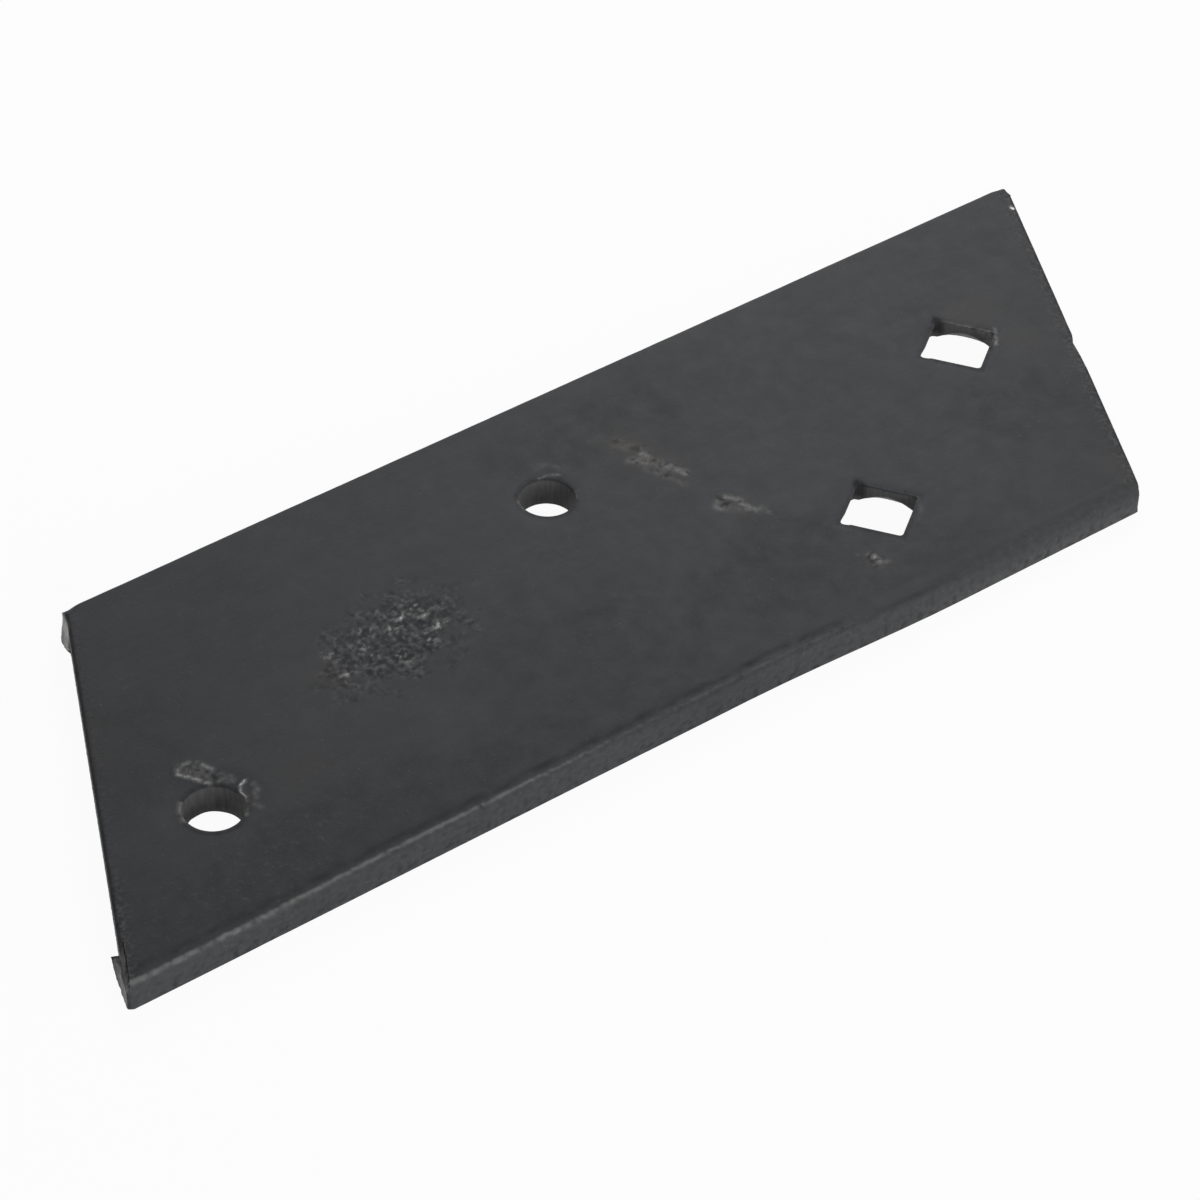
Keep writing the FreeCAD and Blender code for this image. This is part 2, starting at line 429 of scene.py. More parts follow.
bmesh.ops.remove_doubles(plate, verts=plate.verts, dist=CLOSE)
bmesh.ops.triangulate(plate, faces=plate.faces, quad_method="BEAUTY", ngon_method="BEAUTY")
bmesh.ops.dissolve_degenerate(plate, dist=SLIVER, edges=plate.edges)
bmesh.ops.triangulate(plate, faces=plate.faces, quad_method="BEAUTY", ngon_method="BEAUTY")
for edge in plate.edges:
    edge.smooth = edge.calc_face_angle(0) < CRISP
for face in plate.faces:
    face.smooth = True

for name, radius in bores.items():
    centre = mounts[name].xy
    for vertex in plate.verts:
        arm = vertex.co.xy - centre
        if arm.length < radius + WALL_REACH:
            above = max(0.0, vertex.co.z - (highest.z - ROLLOVER))
            wanted = radius + ROLLOVER - math.sqrt(max(0.0, ROLLOVER ** 2 - above ** 2))
            vertex.co.xy = centre + arm.normalized() * wanted
print("triangles:", len(plate.faces))

# %% [markdown]
# Now the wear. Every mark is a function that says how far a point moves, and all of them are added up
# point by point. Noise from mathutils gives the same answer on each run. Marks in the upper face only
# go down, because the plate's thickness is the bar's, and what stands up, such as a burr, stands in a
# place that was sunk a little first.

# %% Helpers for shaping marks
def smooth(low, high, value):
    """0 at low, 1 at high and a soft rise between, or a fall where low is the larger."""
    share = min(1.0, max(0.0, (value - low) / (high - low)))
    return share * share * (3 - 2 * share)


def ripple(x, y, size, seed):
    """Soft noise between about -1 and 1, with humps of about this size in millimetres."""
    return noise.noise(Vector((x / size, y / size, seed)))


def speckle(point, size, seed):
    return ripple(point.x, point.y, size, seed)


def far_from(point, places, reach):
    return min((point - place).length for place in places) > reach


def distance_to_path(point, path):
    """Distance in the plate's plane from a point to a line of straight runs."""
    best = 1e9
    for first, last in zip(path, path[1:]):
        run = Vector(last) - Vector(first)
        share = (point - Vector(first)).dot(run) / max(run.length_squared, 1e-9)
        share = min(1.0, max(0.0, share))
        best = min(best, (point - Vector(first) - run * share).length)
    return best


def hump(distance, width):
    return math.exp(-(distance / width) ** 2)


def blot(point, middle, half):
    """1 in the middle of an oval and 0 outside it, with a wandering border."""
    reach = math.hypot((point.x - middle[0]) / half[0], (point.y - middle[1]) / half[1])
    return 1 - smooth(0.45, 1.15, reach + 0.35 * speckle(point, 9, 4.4))


def deepen(marks, name, *values):
    """Raises one of a point's marks to the largest of some values."""
    marks[name] = max(marks[name], *values)


print("a hump of width 1 is", round(hump(1.0, 1.0), 2), "high one width away")

# %% [markdown]
# The pitted patch has no drawing in it. It is a ragged oval of small lumps with pits between them,
# as a worn die or heavy scale leaves behind, turned a little against the plate. Three sizes of noise
# are added up, so that no lump is like the next. The lump tops turn light steel grey, most round a
# dozen places, a few specks shine elsewhere, and the pits hold dirt.

# %% The pitted patch
PATCH_TURN = math.radians(15)
PATCH_LENGTH, PATCH_WIDTH = 24.0, 14.5  # of half the oval
PATCH_LENGTHWISE = Vector((math.cos(PATCH_TURN), math.sin(PATCH_TURN)))
PATCH_CROSSWISE = Vector((-math.sin(PATCH_TURN), math.cos(PATCH_TURN)))

# places where the lump tops are lightest
light_top_knots = [
    (-55.2, 8.1), (-56.7, 12.1), (-50.8, 10.1), (-50.2, 5.9), (-42.8, 6.4), (-49.2, 0.4), (-58.5, 6.2),
    (-68.2, 4.9), (-68.4, 0.5), (-61.7, -3.4), (-75.5, 6.7), (-76, -1.4), (-64.4, 9), (-53.2, -1.8),
]


def patch_share(point):
    """1 in the heart of the patch, 0 outside it, with a ragged border between."""
    arm = point - PATCH
    along = arm.dot(PATCH_LENGTHWISE)
    across = arm.dot(PATCH_CROSSWISE)
    reach = math.hypot(along / PATCH_LENGTH, across / PATCH_WIDTH)
    ragged = reach + 0.42 * speckle(point, 5, 3.1)
    ragged += 0.22 * speckle(point, 1.9, 8.2)
    return 1 - smooth(0.55, 1.06, ragged)


def patch_marks(point):
    """Depth, how light and metallic a lump's top is made, and how dark a pit is."""
    share = patch_share(point)
    if share <= 0:
        return 0.0, 0.0, 0.0
    lump = speckle(point, 1.2, 5) + 0.55 * ripple(point.x, point.y * 1.4, 3.4, 6)
    fine = speckle(point, 0.75, 7)
    light_tops = smooth(0, 0.6, lump + 0.6 * fine)
    nearest = min((point - Vector(knot)).length for knot in light_top_knots)
    knotted = 0.16 + 0.6 * hump(nearest + 0.8 * speckle(point, 2, 8), 2)
    pit = smooth(0.05, -0.5, lump + 0.5 * fine)
    depth = max(0.0, 0.15 - 0.22 * lump + 0.08 * fine)
    return share * depth, share * light_tops * knotted, share * pit


print("patch depth at its middle:", round(patch_marks(PATCH)[0], 2), "mm")

# %% [markdown]
# A scuff is a place where something hard skidded over the plate and dragged its skin about. It is
# drawn as a few short broad strokes: each one ploughs a shallow furrow and leaves the skin broken,
# bright in grains and brown round them.

# %% Scuffs
SCUFF_REACH = 18.0  # no stroke is further from the middle of a scuff

# start and end in millimetres, width, depth of the furrow, how bare the metal is, and how brown
strokes = [
    ((23.4, 29.2), (26.2, 24.8), 2.4, 0.16, 0.13, 1),
    ((25.6, 22.7), (26.4, 21.9), 1.2, 0.1, 0.52, 0.5),
    ((22, 22.4), (24.6, 20.2), 1.4, 0.12, 0.46, 0.6),
    ((24.8, 20.6), (27.2, 15.6), 2.5, 0.08, 0.18, 1),
    ((28, 15.6), (29.7, 11.4), 1.4, 0.12, 0.42, 0.6),
    ((29.5, 11.6), (29.9, 10.8), 0.95, 0.06, 0.58, 0),
    ((23, 17.8), (27.6, 7.6), 0.9, 0.03, 0.12, 0.8),
    ((28.9, -1.7), (32.4, -1.2), 1, 0.12, 0.3, 0.2),
    ((32.4, -1.2), (34.6, -4.2), 1.1, 0.12, 0.44, 0.1),
    ((28.5, -2.4), (28.9, -5.2), 1, 0.12, 0.4, 0.2),
    ((34, -5.6), (35.9, -9.6), 1.1, 0.12, 0.48, 0.1),
    ((30.6, -3.6), (33.4, -7.2), 1.8, 0.14, 0.12, 0.6),
    ((37, -8.8), (37.6, -11.4), 1, 0.08, 0.16, 0.2),
    ((45.4, -36.2), (48, -38), 0.9, 0.05, 0.24, 0),
    ((47.9, -37.2), (48.4, -40), 1, 0.12, 0.62, 0),
    ((48.6, -40.2), (49.8, -42), 0.9, 0.06, 0.22, 0),
    ((45.6, -39.4), (47.6, -42), 1.3, 0.12, 0.05, 0.3),
]


def stroke_marks(point):
    """Depth of the furrows, and how bare, how brown and how dark the skin is."""
    depth = bare = brown = dark = 0.0
    if far_from(point, SCUFFS, SCUFF_REACH):
        return depth, bare, brown, dark
    for first, last, width, deep, shine, stain in strokes:
        away = distance_to_path(point, (first, last)) + 0.8 * speckle(point, 2.1, 13)
        if away > 4 * width:
            continue
        broken = 0.7 * speckle(point, 1, 11) + 0.8 * speckle(point, 2, 12)
        furrow = hump(max(0.0, away), width * 0.8)
        depth += deep * furrow * (0.8 + 0.8 * broken)
        bare = max(bare, shine * furrow * smooth(-0.6, 0.22, broken))
        brown = max(brown, stain * hump(max(0.0, away), width * 1.5))
        dark = max(dark, 0.6 * furrow * smooth(-0.15, -0.6, broken))
    return depth, bare, brown, dark


print(len(strokes), "strokes in", len(SCUFFS), "scuffs")

# %% [markdown]
# Where the punch came through, it threw up burrs. The rear hole has the worst: a crumpled flap of
# torn skin lies over its far rim. The flap is a low wrinkled mound along a line, and the thin crests
# on it, like the burrs at the other holes, are ridges that follow lines of their own.

# %% Burrs and the crumpled flap
FLAP = ((-123.9, -5.4), (-121.3, -7.4), (-119.0, -10.3), (-116.7, -13.4))
RIDGE_REACH = 20.0  # no ridge is further from the middle of a hole

# path in millimetres, width, height above the sunken rim, and how bare the metal is
ridges = [
    (((-117.4, -9.4), (-118.3, -7.2), (-119, -5.6)), 0.62, 0.36, 0.6),
    (((-120.6, -4.4), (-122.4, -4.3), (-124.1, -5.3), (-124.5, -6.4)), 0.6, 0.36, 0.5),
    (((-124.6, -6.2), (-123.4, -7.7), (-121.5, -10.6), (-120.2, -12.3)), 0.62, 0.42, 0.78),
    (((-122.4, -6.8), (-120.4, -8.4), (-119.4, -10.6)), 0.4, 0.2, 0.24),
    (((-118.2, -13), (-116.4, -13), (-115.3, -14.6)), 0.7, 0.18, 0.3),
    (((-113.4, -16.2), (-115.1, -16.8), (-115.9, -18.2)), 0.45, 0.44, 0.95),
    (((-116.1, -18.6), (-116, -20.6)), 0.4, 0.34, 0.8),
    (((-113.4, -20.2), (-114.2, -22)), 0.7, 0.1, 0.26),
    # the next row is a low ridge with a painted highlight on the rear hole's lit left rim
    (((-131.2, -19), (-130.3, -15.8), (-128.6, -13.6)), 0.8, 0.06, 0.4),
    (((-118.9, -25.2), (-117.4, -22.6), (-116.4, -20.8)), 0.8, 0.08, 0.44),
    (((-112.4, -18), (-112.6, -20.4)), 0.7, 0.1, 0.26),
    (((-115.6, -23.4), (-114.8, -25.4)), 0.7, 0.04, 0.2),
    (((-0.2, 29.7), (2.4, 29.3), (4.6, 28)), 0.38, 0.06, 0.42),
    (((1, 32.6), (3.6, 32.8), (5.4, 31.2), (6.1, 29)), 0.9, 0.05, 0.1),
    (((-9, 25.4), (-9.3, 22.8)), 0.9, 0.04, 0.3),
    (((3.2, 18.8), (4.2, 21)), 0.8, 0.04, 0.16),
    (((126.9, 11), (125.9, 9.2)), 0.45, 0.1, 0.46),
    (((125, 8.2), (123, 6)), 0.5, 0.1, 0.62),
    (((122.8, 13.4), (125, 11)), 0.42, 0.1, 0.42),
    (((117.6, 20.6), (119.2, 18.4)), 0.8, 0.05, 0.22),
    (((119.8, 17.4), (121.8, 15)), 0.9, 0.06, 0.34),
    (((67.4, -32.4), (68.6, -30.2), (69.9, -28.2)), 0.6, 0.05, 0.14),
]


def ridge_marks(point):
    """Height above the sunken rim, how bare the metal is, and how dark the painted shade in the folds
    is.
    """
    height = bare = dark = 0.0
    if far_from(point, (rear_hole, middle_hole, near_square, far_square), RIDGE_REACH):
        return height, bare, dark
    away = distance_to_path(point, FLAP) + 0.8 * speckle(point, 1.8, 23)
    mound = 1 - smooth(1, 2.3, away)
    wrinkle = speckle(point, 1.4, 24) + 0.4 * speckle(point, 0.8, 25)
    height = mound * (0.2 + 0.14 * wrinkle)
    bare = mound * (0.07 + 0.22 * wrinkle)
    # painted shade in the troughs of the flap's wrinkles
    dark = 0.6 * mound * smooth(-0.02, -0.4, wrinkle)
    for path, width, tall, shine in ridges:
        away = distance_to_path(point, path)
        if away > 4 * width:
            continue
        waver = 0.8 + 0.5 * speckle(point, 1.1, 21)
        height = max(height, tall * waver * hump(away, width))
        grains = smooth(-0.75, 0.1, speckle(point, 1.3, 22))
        bare = max(bare, shine * hump(away, width * 0.85) * grains)
        dark *= 1 - hump(away, width)
    return height, max(0.0, bare), dark


print(len(ridges), "ridges and a flap", len(FLAP), "points long")

# %% [markdown]
# The shear tore the two rear corners. At the far one the last of the metal flared out and hangs over
# the end as a smooth pale crescent, and the plate sags a little towards it. At the near one a flap
# bulges out. It stands low at its far end and rises to the corner, and a thin tear parts it from the
# inner face. The CAD has both as plain wedges, so here their points are moved: pushed out, pressed
# down or drawn together, by how far along the end they are.

# %% Torn rear corners
END_LENGTH = BAR_WIDTH / math.cos(END_SLOPE)
NEAR_LIP = 17.2  # how far the near flap runs from its corner
FAR_SAG = 45.0  # how far along the plate the far corner sags
TEAR_INSET = 1.1  # how far inside the end the tear runs


def near_corner_torn(co):
    """Moves a point of the near flap or of its tear, and returns how bare it is."""
    run = (co - rear_near).dot(along_end)
    outside = behind_rear(co)
    if run > NEAR_LIP + 1.5 or outside < -2:
        return 0
    if outside > -0.05 and co.z < 6.2:
        co.z *= 0.14 + 0.86 * smooth(NEAR_LIP, 8.5, run)
        co += rear_outward * 0.25 * ripple(run, co.z, 1.6, 75) * smooth(0.1, 0.6, outside)
        bulge = 0.2 * smooth(0.5, 4.5, run) * smooth(16.5, 12, run)
        co += rear_outward * bulge * smooth(0.1, 0.9, outside)
        pale = smooth(13, 5, run)
        return pale * (0.55 + 0.5 * ripple(run, co.z, 1.3, 76))
    inward = outside + TEAR_INSET
    ramp = smooth(0.15, 0.9, inward) * smooth(12.5, 8.5, run)
    if ramp > 0 and co.z > 6:
        co.z -= 1.3 * ramp * smooth(0.2, 1.2, inward)
        return 0.3 * ramp * (0.8 + 0.8 * ripple(run, inward, 1.5, 74))
    if abs(inward) < 0.6 and co.z > 6:
        gap = 0.3 * (1 - smooth(12, 16, run)) * (0.8 + 0.6 * ripple(run, 0, 2.6, 77))
        co.z = highest.z - (highest.z - co.z) * max(0.05, gap)
        co += rear_outward * (-0.72 * inward + 0.18 * ripple(run, 0, 3.4, 78))
    return 0


def far_corner_torn(co):
    """The same for the flared far corner."""
    run = END_LENGTH - (co - rear_near).dot(along_end)
    outside = behind_rear(co)
    if run > 9 or outside < -FAR_SAG:
        return 0
    droop = 0.9 * smooth(3.2, 0, math.hypot(run, outside))
    droop += 0.26 * smooth(FAR_SAG, 12, -outside) * smooth(9, 1, run)
    co.z -= droop * smooth(0, 7, co.z)
    if outside < -2:
        return 0
    if outside > 0.08 and co.z < 7.2:
        swell = 0.52 * smooth(5.4, 3.4, run) - 0.55 * smooth(5.2, 7.6, run)
        flare = 0.9 * co.z / highest.z * smooth(7, 1.5, run)
        co += rear_outward * (outside * swell + flare)
        pale = 0.36 + 0.44 * smooth(1, 5, run) + 0.5 * smooth(2.5, 6, co.z)
        return pale * smooth(8.6, 7, run) * (1 + 0.3 * ripple(run, co.z, 1.8, 79))
    flare = smooth(7, 0.6, run) * smooth(-1.6, -0.1, outside) * smooth(0, 7, co.z)
    co += rear_outward * 0.85 * flare
    wall = smooth(-0.5, -0.1, outside) * smooth(7.8, 7.3, co.z)
    return wall * max(0.6 * flare, 0.75 * smooth(8.4, 6.8, run))


print("the ends are", round(END_LENGTH, 2), "mm long")

# %% [markdown]
# The square holes were punched too, and a little askew. Their corner nearest the rear was dragged
# out, their far left side leans out on its way down, and the countersink's rim is pulled out below
# the far corner. The rear round hole has a burr at its lower rim, which narrows the view through it.

# %% Drag the square holes and burr the rear one
SQUARE_TURN = math.radians(36)
SQUARE_HALF = 7.5
SINK_RADIUS = 13.0
PUNCHED_AWAY = Vector((-math.sin(SQUARE_TURN), math.cos(SQUARE_TURN)))  # out of the far left side
LEAN = 0.33  # how far that side leans out, for each millimetre down
FAR_CORNER, REAR_CORNER, SHARE_CORNER = 81, 171, -9  # of a square hole, in degrees round it
AWAY_FROM_CAMERA = Vector((0.42, 0.91))


def outside_square(point, centre):
    """How far a point lies outside a square hole's walls, less than nothing inside them."""
    arm = point - centre
    across = abs(arm.x * math.cos(SQUARE_TURN) + arm.y * math.sin(SQUARE_TURN))
    along = abs(arm.y * math.cos(SQUARE_TURN) - arm.x * math.sin(SQUARE_TURN))
    return max(across, along) - SQUARE_HALF


def drag_square(co, marks):
    """Moves a point of a square hole or its countersink, and paints light on its wall in one corner.
    """
    for centre in (near_square, far_square):
        arm = co.xy - centre
        if arm.length > SINK_RADIUS + 1:
            continue
        turn = math.degrees(math.atan2(arm.y, arm.x))
        outside = outside_square(co.xy, centre)
        if outside < 0.3 and co.z < UPPER_FACE:
            # painted light: the wall's share-side corner lies in shade and is lightened, more in the
            # far hole
            painted_glint = 0.36 if centre is far_square else 0.14
            painted_glint *= smooth(24, 4, abs(turn - SHARE_CORNER))
            marks["bare_metal"] = painted_glint * (0.8 + 0.8 * ripple(co.z, turn, 2, 35))
        if outside < 1.2 and turn > 0:
            pull = smooth(17, 3, abs(turn - REAR_CORNER)) * smooth(1.2, 0.2, outside)
            co.xy += arm.normalized() * 0.55 * pull
        reach = arm.dot(PUNCHED_AWAY)
        if reach > SQUARE_HALF - 0.5:
            lean = min(1.0, LEAN * (highest.z - co.z))
            co.xy += PUNCHED_AWAY * lean * smooth(SINK_RADIUS, SQUARE_HALF + 0.5, reach)
        if co.z < 3 and arm.length > SINK_RADIUS - 2.5:
            below_corner = smooth(52, 0, abs(turn - FAR_CORNER))
            co.xy += arm.normalized() * 0.95 * below_corner * smooth(3, 0.4, co.z)


def burr_rear_bore(co):
    """Draws the rear bore's wall in at its lower rim, and at the near side of its upper one."""
    arm = co.xy - rear_hole
    if arm.length < bores["rear_bolt_hole"] + WALL_REACH:
        near_side = smooth(0.3, -0.6, arm.normalized().dot(AWAY_FROM_CAMERA)) * smooth(7.5, 7.9, co.z)
        burr = 0.45 * smooth(3.2, 0.6, co.z) * (0.9 + 0.5 * speckle(arm, 3, 37))
        co.xy -= arm.normalized() * max(ROLLOVER * near_side, burr)


print("the countersinks are", 2 * SINK_RADIUS, "mm wide")

# %% [markdown]
# The share end's far corner is worn rounder than it was drawn.

# %% Wear the far share corner
SHARE_FAR = (share_near + along_end * BAR_WIDTH / math.cos(END_SLOPE)).xy  # were it sharp
CAD_RADIUS = 2.5  # of the corner as it was drawn
CORNER_RADIUS = 3.3  # and as it is worn
CORNER_ANGLE = math.radians(90) - END_SLOPE  # between the far edge and the share end
share_normal = share_outward.xy
corner_way = (share_normal + Vector((0, 1))).normalized()  # from the plate out through the corner
corner_middle = SHARE_FAR - corner_way * CORNER_RADIUS / math.sin(CORNER_ANGLE / 2)
middles_apart = (CORNER_RADIUS - CAD_RADIUS) / math.sin(CORNER_ANGLE / 2)


def wear_share_corner(co):
    """Draws a point of the corner in, the more the nearer it is to the tip."""
    arm = co.xy - corner_middle
    away = arm.normalized()
    straight_on = away.dot(corner_way)
    if straight_on > math.sin(CORNER_ANGLE / 2):
        arc = middles_apart * straight_on
        arc += math.sqrt(CAD_RADIUS ** 2 - middles_apart ** 2 * (1 - straight_on ** 2))
        sides = CORNER_RADIUS / max(away.y, away.dot(share_normal))
        co.xy = corner_middle + arm * CORNER_RADIUS / min(arc, sides)


print("far share corner rounded to", CORNER_RADIUS, "mm")

# %% [markdown]
# Some things only change the colour. Heavy scale lies in broad dark blots, fine bright freckles
# gather near the rear hole, and the plate is browned round the far square hole, where the punch ran
# hot. Each of these is an oval with a wandering border, which the material reads later.

# %% Blots of colour
# middle, half sizes, strength
thick_scale = [
    ((-100, -44), (78, 17), 0.95), ((28, -30), (40, 19), 0.95),
    ((24, 37), (34, 17), 0.8), ((112, -14), (24, 15), 0.75),
    ((-27, -30), (32, 26), 0.6), ((-131, 6), (20, 22), 0.55),
    ((-149, -36), (14, 14), 0.4), ((-17, -18), (11, 6), 0.95),
    ((111, 24), (9, 8), 0.5), ((62, -46), (34, 7), 0.75),
]
freckled = [((-128, -40), (38, 15), 1), ((-98, -30), (24, 12), 0.6),
            ((-8, 8), (30, 8), 0.4), ((152, 51), (16, 5), 0.7)]
browned = [((127, 19), (9, 8), 0.45), ((130, 6), (6, 8), 0.4),
           ((-104, -22), (14, 8), 0.22), ((-134, 12), (8, 12), 0.18),
           ((-80, 3), (6, 7), 0.22), ((117, -46), (5, 8), 0.4)]


def strongest(point, blots):
    return max(strength * blot(point, middle, half) for middle, half, strength in blots)


print(len(thick_scale) + len(freckled) + len(browned), "blots")

# %% [markdown]
# The near edge is as the mill rolled it: its upper arris is rounded, its lower one nearly sharp, and
# nicks and lumps run along it. Towards the share end it was pressed while it was hot, which gave it a
# soft shoulder. The sheared ends are streaked, and rougher in their lower half, where the steel broke
# instead of being cut.

# %% The near edge and the sheared ends
SWELL = 1.9  # how far the near edge swells out on its way to the share end
ARRIS = 2.0  # radius of the near edge's upper arris
ROLLED = 2.2  # how much larger it is where the edge was pressed


def round_near_arrises(co, inland, radius):
    """Sharpens the lower arris, rounds the upper one and returns how far inland the point is."""
    across, down = 1 - inland, 1 - co.z
    if across > 0 and down > 0:
        co.y += across - across ** (1 / 3)
        co.z = 1 - down ** (1 / 3)
    arm = Vector((radius - inland, radius - (highest.z - co.z)))
    if min(arm) > 0 and arm.length > radius:
        arm *= radius / arm.length
        co.y += radius - arm.x - inland
        co.z = highest.z - radius + arm.y
        inland = radius - arm.x
    return inland


def roughen_near_edge(co, hold, upper, bumpy):
    """Adds dents, nicks and lumps."""
    low = smooth(0.6, 3, co.z)
    dent = 0.04 * low + 0.05 * ripple(co.x, co.z * 1.5, 9, 51)
    dent += (0.03 + 0.04 * low) * ripple(co.x, co.z, 1.5, 52)
    nick = max(0.0, ripple(co.x, co.z * 0.5, 2.2, 53) - 0.36) * 0.9
    lumps = 0.3 * ripple(co.x, co.z * 0.7, 3.4, 56) + 0.12 * ripple(co.x, co.z, 1.3, 57)
    lumps = max(0.0, lumps) * (0.35 + bumpy) * smooth(1.2, 4, co.z)
    co.y += hold * max(0.0, dent + nick * upper + lumps)
    co.z -= hold * upper * bumpy * max(0.0, 0.35 * speckle(co, 4, 58))


def wear_near_edge(co, marks):
    """Moves and marks a point by how far inside the near long edge it lies."""
    inland = co.y - rear_near.y + SWELL * smooth(-2.6, 62.4, co.x)
    soft = smooth(28, 74, co.x)
    bumpy = smooth(-8, 8, co.x) * smooth(76, 52, co.x)
    # painted light on the near face, strongest towards the share end, weaker round its middle and the
    # rear hole
    lit = 0.62 - 0.26 * hump(co.x + 7, 20) - 0.1 * hump(co.x + 118, 14)
    lit += 0.62 * smooth(40, 74, co.x)
    # on the pressed part most of that painted light lies low on the face
    lit *= 1 - 0.55 * soft * smooth(1.5, 5, co.z)
    # and painted light on the pressed shoulder, which the lamps leave dim
    shoulder = 0.38 * smooth(7.5, 3, inland) + 0.38 * hump(inland - 1.9, 1.3)
    marks["rolled_edge"] = max(lit * smooth(1.5, 0.5, inland), shoulder * soft)
    if inland > 8:
        return
    upper = smooth(5, 7.9, co.z)
    inland = round_near_arrises(co, inland, ARRIS + ROLLED * soft)
    co.z -= upper * soft * 0.22 * (1 - smooth(0, 8, inland))
    hold = 1 - smooth(0, 3, inland)
    roughen_near_edge(co, hold, upper, bumpy)
    pits = smooth(0, 0.45, ripple(co.x, co.z * 1.3, 1.7, 59))
    pits *= 0.35 + 0.65 * smooth(6, 1.5, co.z)
    above = hump(inland - 3.6, 0.9) * smooth(45, 5, co.x)
    above *= 0.8 + 1.6 * speckle(co, 2.2, 60)
    deepen(marks, "dark_rim", 0.5 * pits * smooth(1, 0.4, inland), 0.34 * above)
    deepen(marks, "rough_spot", (0.3 + 0.4 * bumpy) * hold)
    # painted highlight along the upper arris, brightest towards the rear end and broken into patches
    bright = 1.3 * smooth(-30, -75, co.x)
    bright += 0.45 * smooth(50, 20, co.x) * smooth(-75, -30, co.x)
    patchy = 0.75 + 0.5 * ripple(co.x, 0, 6, 54) + 0.8 * speckle(co, 1.1, 55)
    crest = 0.85 + 0.55 * smooth(-145, -95, co.x)
    marks["worn_edge"] = hump(inland - crest, 0.48) * smooth(6.6, 7.2, co.z) * bright * patchy


def shear_end(co, outside, outward, seed, edge_shade, mottled, marks):
    """Streaks and breaks a sheared face; edge shade darkens its top edge in paint, mottled patches its
    rim.
    """
    hold = smooth(-1.2, 0, outside)
    upper = smooth(5.5, 7.95, co.z)
    run = co.dot(along_end)
    broken_zone = 1 - smooth(2.8, 5.2, co.z + 1.2 * ripple(run, 0, 7, seed))
    streak = 0.5 + 0.5 * ripple(run, co.z * 0.12, 0.9, seed + 1)
    grit = 0.5 + 0.5 * ripple(run, co.z, 1.1, seed + 2)
    co -= outward * hold * (0.03 + 0.07 * streak + 0.16 * grit * broken_zone)
    co.z -= upper * 0.2 * smooth(-1, 0, outside) * (0.8 + 0.6 * ripple(run, 0, 6, seed + 3))
    deepen(marks, "rough_spot", 0.4 * hold)
    # painted shade: a dark line along the top edge of the sheared face
    line = hump(outside + 0.25, 0.4) * (0.75 + 0.4 * ripple(run, outside, 4, seed + 4))
    deepen(marks, "dark_rim", line * upper * edge_shade)
    deepen(marks, "sheared_rim", mottled * hump(outside + 1.2, 2) * upper)


print("the near edge swells out by", SWELL, "mm")

# %% [markdown]
# The punch dished the steel round each hole, most behind the rear one. Dirt sits in the dishes, and
# the punched walls are pale. With the patch, the scuffs and a chip in the share end, this is how far
# the upper face sinks, and the burrs stand in what was sunk.

# %% Sink the upper face
# how far the dish reaches, its depth, how much deeper it is behind, its dirt, how pale the wall is
dishes = {"rear_bolt_hole": (7, 0.06, 0.38, 0.5, 1),
          "middle_bolt_hole": (3.5, 0.05, 0.12, 0.35, 0.9)}


def sink_round_holes(co, marks):
    sink = 0.0
    for name, (reach, depth, deeper, dirt, pale) in dishes.items():
        arm = co.xy - mounts[name].xy
        away = arm.length - bores[name]
        if away < reach:
            behind = smooth(-0.6, 0.8, arm.normalized().dot(AWAY_FROM_CAMERA))
            sink += (depth + deeper * behind) * (1 - smooth(0, reach, away))
            smudge = 0.75 + 0.7 * speckle(co, 1.6, 33)
            deepen(marks, "dark_rim", dirt * hump(away - 0.6, 0.6) * smudge)
        if away < 0.2:
            marks["punched_wall"] = pale * smooth(8, 7.2, co.z)
    return sink


def sink_square_holes(co, marks):
    sink = 0.0
    for centre in (near_square, far_square):
        arm = co.xy - centre
        away = outside_square(co.xy, centre)
        if away < 4:
            sink += 0.12 * (1 - smooth(0, 2.2, away)) + 0.05 * hump(away - 1.4, 0.5)
            smudge = 0.6 + 0.9 * speckle(co, 1.4, 34)
            turn = math.degrees(math.atan2(arm.y, arm.x))
            # painted shade in the far corner of each square hole, on its wall and rim
            corner = smooth(15, 3, abs(turn - FAR_CORNER)) * smooth(1.6, 0.6, away)
            corner *= smooth(3, 5, co.z)
            deepen(marks, "dark_rim", 0.42 * hump(away - 0.6, 0.5) * smudge, 0.8 * corner)
        if away < 0.2 or (co.z < 5.6 and arm.length < SINK_RADIUS + 0.1):
            marks["punched_wall"] = 0.8 * smooth(8, 7.2, co.z) * smooth(0, 0.8, co.z)
    return sink


def chip_share(point):
    """1 in the chip at the share end, 0 outside it."""
    arm = point - CHIP
    reach = math.hypot(arm.x * 1.15, arm.y * 0.8) + 0.3 * speckle(point, 1.2, 36)
    return 1 - smooth(0.4, 1.15, reach)


def sink_upper(co, marks):
    """How far the upper face goes down at a point."""
    point = co.xy
    upper = smooth(5.5, 7.95, co.z)
    wave = 0.05 + 0.04 * speckle(co, 38, 31) + 0.015 * speckle(co, 6, 32)
    patch, light_tops, dirt = patch_marks(point)
    furrow, scuffed, stain, dark = stroke_marks(point)
    ridge, shine, fold_shade = ridge_marks(point)
    chipped = chip_share(point)
    holes = sink_round_holes(co, marks) + sink_square_holes(co, marks)
    marks["rough_spot"] = patch_share(point)
    marks["brown_stain"] = max(stain, strongest(point, browned)) * upper
    deepen(marks, "dark_rim", 0.42 * dirt * upper, dark * upper, fold_shade * upper)
    deepen(marks, "bare_metal", max(light_tops, scuffed, chipped) * upper,
           shine * smooth(7, 7.7, co.z))
    return max(0.0, wave + patch + furrow + holes + 0.3 * chipped - ridge) * upper


